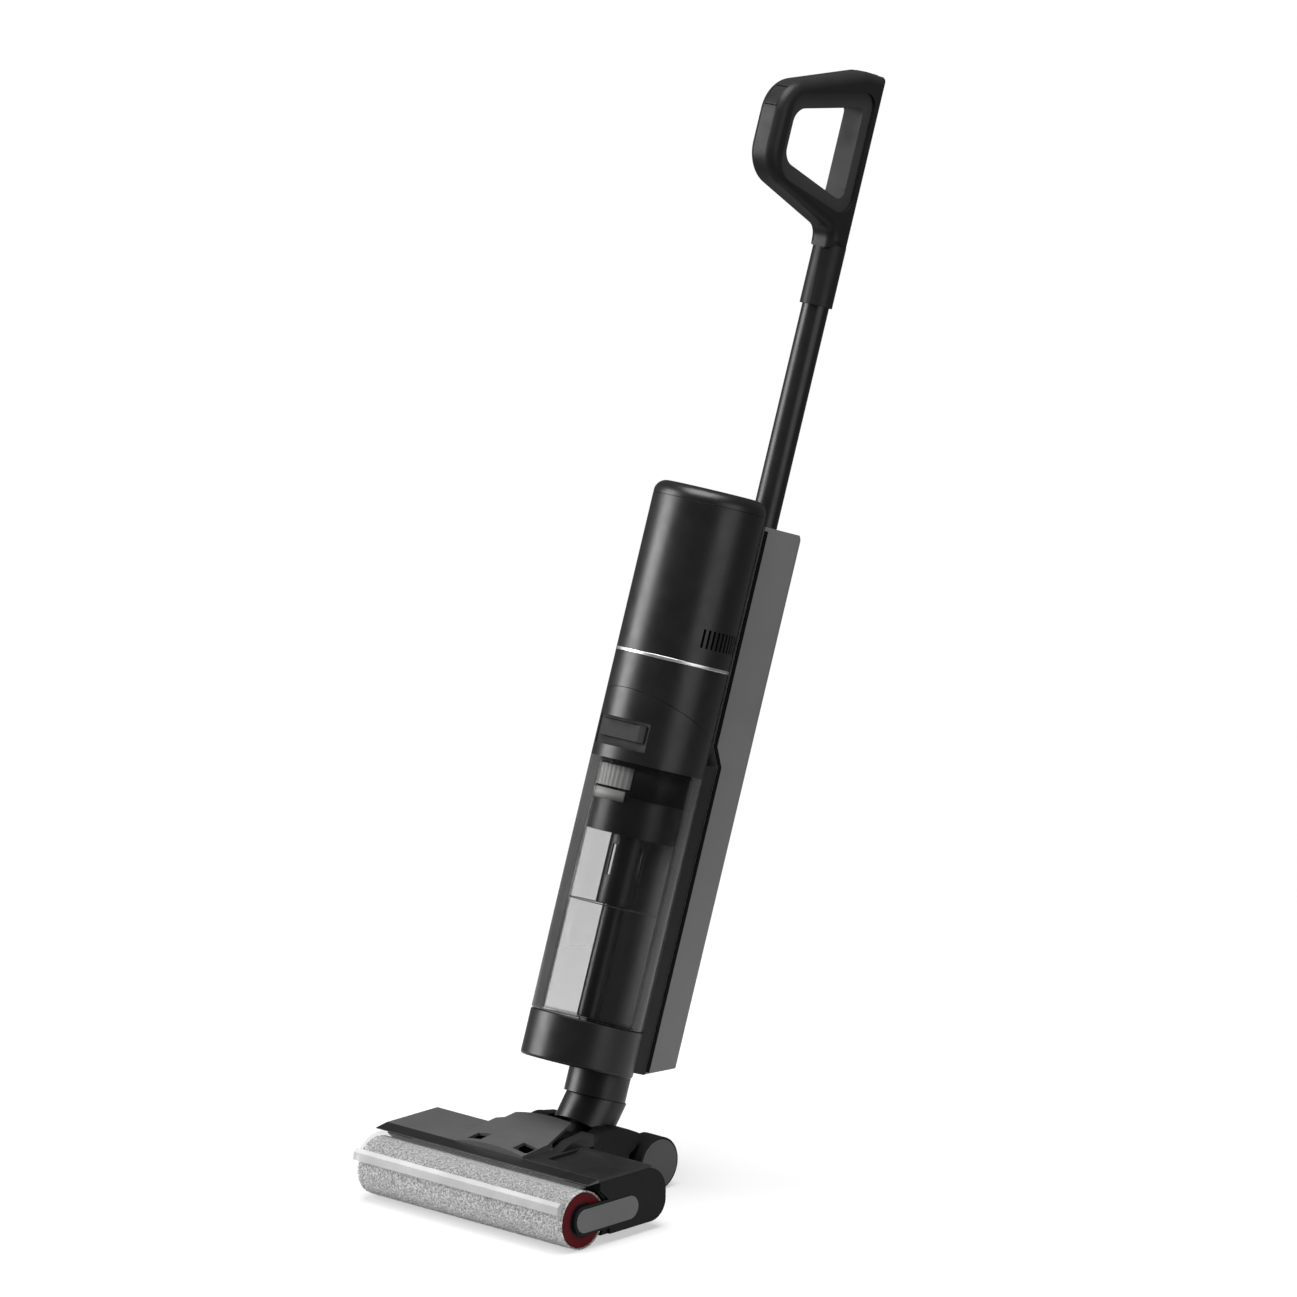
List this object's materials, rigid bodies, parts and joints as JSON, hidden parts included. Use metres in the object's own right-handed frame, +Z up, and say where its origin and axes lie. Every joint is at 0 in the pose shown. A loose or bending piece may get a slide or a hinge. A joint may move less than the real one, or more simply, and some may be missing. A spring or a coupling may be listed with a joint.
{
  "type": "wet dry floor scrubber",
  "caption": "Upright cordless wet dry floor scrubber: powered roller head on rear wheels, tilting neck, clear dirty water tank, rear clean water tank and loop handle.",
  "frame": {"origin": "on the floor, at the middle of the bounding box of the machine leaning back as in use", "axes": "+X to the machine's right, +Y to its rear (the way the body leans), +Z up"},
  "size_m": [0.282, 0.5918, 1.0416],
  "materials": {
    "satin_black": "satin black moulded plastic",
    "gloss_black": "piano black",
    "dark_plastic": "fine matt",
    "grey_plastic": "satin grey",
    "cover_grey": "satin dark grey",
    "clear_smoke": "clear smoked plastic",
    "clear_visor": "clear plastic, frosted lip",
    "fleece": "speckled grey pile",
    "red_plastic": "satin",
    "chrome": "polished",
    "steel": "turned",
    "contact_metal": "plated",
    "tyre": "matt",
    "seal_rubber": "matt",
    "pole_paint": "satin black",
    "white_plastic": "matt white",
    "filter_foam": "pleated filter",
    "cell_blue": "shrink wrap",
    "board_green": "solder mask",
    "orange_plastic": "satin"
  },
  "bodies": {
    "head": {"head_chassis": "dark_plastic", "scraper": "seal_rubber", "base_plate": "dark_plastic", "base_screws": "steel", "suction_duct": "dark_plastic", "spray_bar": "white_plastic", "right_arm": "dark_plastic", "arm_trim": "grey_plastic", "drive_case": "dark_plastic", "drive_motor": "steel", "drive_belt": "seal_rubber", "side_deck": "dark_plastic", "rear_yoke": "dark_plastic", "pivot_pins": "steel", "charge_contacts": "contact_metal", "wheel_axle": "steel"},
    "cover": {"roller_cover": "cover_grey", "front_visor": "clear_visor"},
    "latch_left": {"latch_left": "satin_black"},
    "latch_right": {"latch_right": "satin_black"},
    "roller": {"roller_pile": "fleece", "roller_core": "dark_plastic", "roller_end_ring": "red_plastic", "roller_hub": "satin_black", "roller_pulley": "dark_plastic"},
    "motor_rotor": {"motor_pulley": "white_plastic"},
    "wheel_left": {"wheel_hub_left": "grey_plastic", "wheel_tyre_left": "tyre"},
    "wheel_right": {"wheel_hub_right": "grey_plastic", "wheel_tyre_right": "tyre"},
    "knuckle": {"tilt_knuckle": "dark_plastic"},
    "main_body": {"neck_elbow": "satin_black", "neck_collar": "satin_black", "base_cup": "satin_black", "water_pump": "white_plastic", "spine": "dark_plastic", "motor_housing": "satin_black", "chrome_ring": "chrome", "suction_motor": "dark_plastic", "battery_pack": "cell_blue", "control_board": "board_green", "top_cap": "gloss_black", "display_lens": "gloss_black"},
    "dirty_tank": {"dirty_tank": "clear_smoke", "inlet_pipe": "satin_black", "separator_cage": "satin_black", "filter_housing": "satin_black", "tank_filter": "filter_foam", "tank_seal": "seal_rubber", "tank_lid": "satin_black"},
    "float": {"float_ball": "orange_plastic"},
    "tank_button": {"tank_button": "grey_plastic"},
    "clean_tank": {"clean_tank": "grey_plastic"},
    "tank_cap": {"tank_cap": "dark_plastic"},
    "handle": {"pole_tube": "pole_paint", "handle_frame": "satin_black", "grip_insert": "cover_grey"},
    "power_button": {"power_button": "gloss_black"},
    "mode_button": {"mode_button": "gloss_black"},
    "self_clean_button": {"self_clean_button": "gloss_black"}
  },
  "joints": [
    {"name": "neck_tilt", "type": "hinge", "parent": "head", "child": "knuckle", "pos_m": [0, -0.1305, 0.045], "axis": [1, 0, 0], "range_deg": [-35, 19.6]},
    {"name": "neck_swivel", "type": "hinge", "parent": "knuckle", "child": "main_body", "pos_m": [0, -0.1305, 0.045], "axis": [0, 0.6078, 0.7941], "range_deg": [-35, 35]},
    {"name": "roller_spin", "type": "hinge", "parent": "head", "child": "roller", "pos_m": [0, -0.2605, 0.02915], "axis": [1, 0, 0], "continuous": true},
    {"name": "motor_spin", "type": "hinge", "parent": "head", "child": "motor_rotor", "pos_m": [0, -0.1995, 0.02915], "axis": [1, 0, 0], "continuous": true},
    {"name": "wheel_left_spin", "type": "hinge", "parent": "head", "child": "wheel_left", "pos_m": [-0.043, -0.0695, 0.0264], "axis": [1, 0, 0], "continuous": true},
    {"name": "wheel_right_spin", "type": "hinge", "parent": "head", "child": "wheel_right", "pos_m": [0.043, -0.0695, 0.0264], "axis": [1, 0, 0], "continuous": true},
    {"name": "cover_lift", "type": "slide", "parent": "head", "child": "cover", "axis": [0, 0, 1], "range_m": [0, 0.035]},
    {"name": "latch_left_press", "type": "slide", "parent": "cover", "child": "latch_left", "axis": [0, 1, 0], "range_m": [0, 0.0025], "stiffness_N_per_m": 400},
    {"name": "latch_right_press", "type": "slide", "parent": "cover", "child": "latch_right", "axis": [0, 1, 0], "range_m": [0, 0.0025], "stiffness_N_per_m": 400},
    {"name": "dirty_tank_release", "type": "slide", "parent": "main_body", "child": "dirty_tank", "axis": [0, -0.7601, 0.6498], "range_m": [0, 0.12]},
    {"name": "float_rise", "type": "slide", "parent": "dirty_tank", "child": "float", "axis": [0, 0.3359, 0.9419], "range_m": [0, 0.03]},
    {"name": "tank_button_press", "type": "slide", "parent": "dirty_tank", "child": "tank_button", "axis": [0, 0.9419, -0.3359], "range_m": [0, 0.002], "stiffness_N_per_m": 400},
    {"name": "clean_tank_release", "type": "slide", "parent": "main_body", "child": "clean_tank", "axis": [0, 0.9419, -0.3359], "range_m": [0, 0.06]},
    {"name": "tank_cap_pull", "type": "slide", "parent": "clean_tank", "child": "tank_cap", "axis": [0, 0.9419, -0.3359], "range_m": [0, 0.012]},
    {"name": "handle_pull", "type": "slide", "parent": "main_body", "child": "handle", "axis": [0, 0.3359, 0.9419], "range_m": [0, 0.12]},
    {"name": "power_button_press", "type": "slide", "parent": "handle", "child": "power_button", "axis": [0, 0.1456, -0.9893], "range_m": [0, 0.0015], "stiffness_N_per_m": 400},
    {"name": "mode_button_press", "type": "slide", "parent": "handle", "child": "mode_button", "axis": [0, 0.6867, -0.7269], "range_m": [0, 0.0015], "stiffness_N_per_m": 400},
    {"name": "self_clean_press", "type": "slide", "parent": "handle", "child": "self_clean_button", "axis": [0, -0.3359, -0.9419], "range_m": [0, 0.0015], "stiffness_N_per_m": 400}
  ],
  "couplings": [
    {"joint": "motor_spin", "follows": "roller_spin", "ratio": 1.6667}
  ]
}
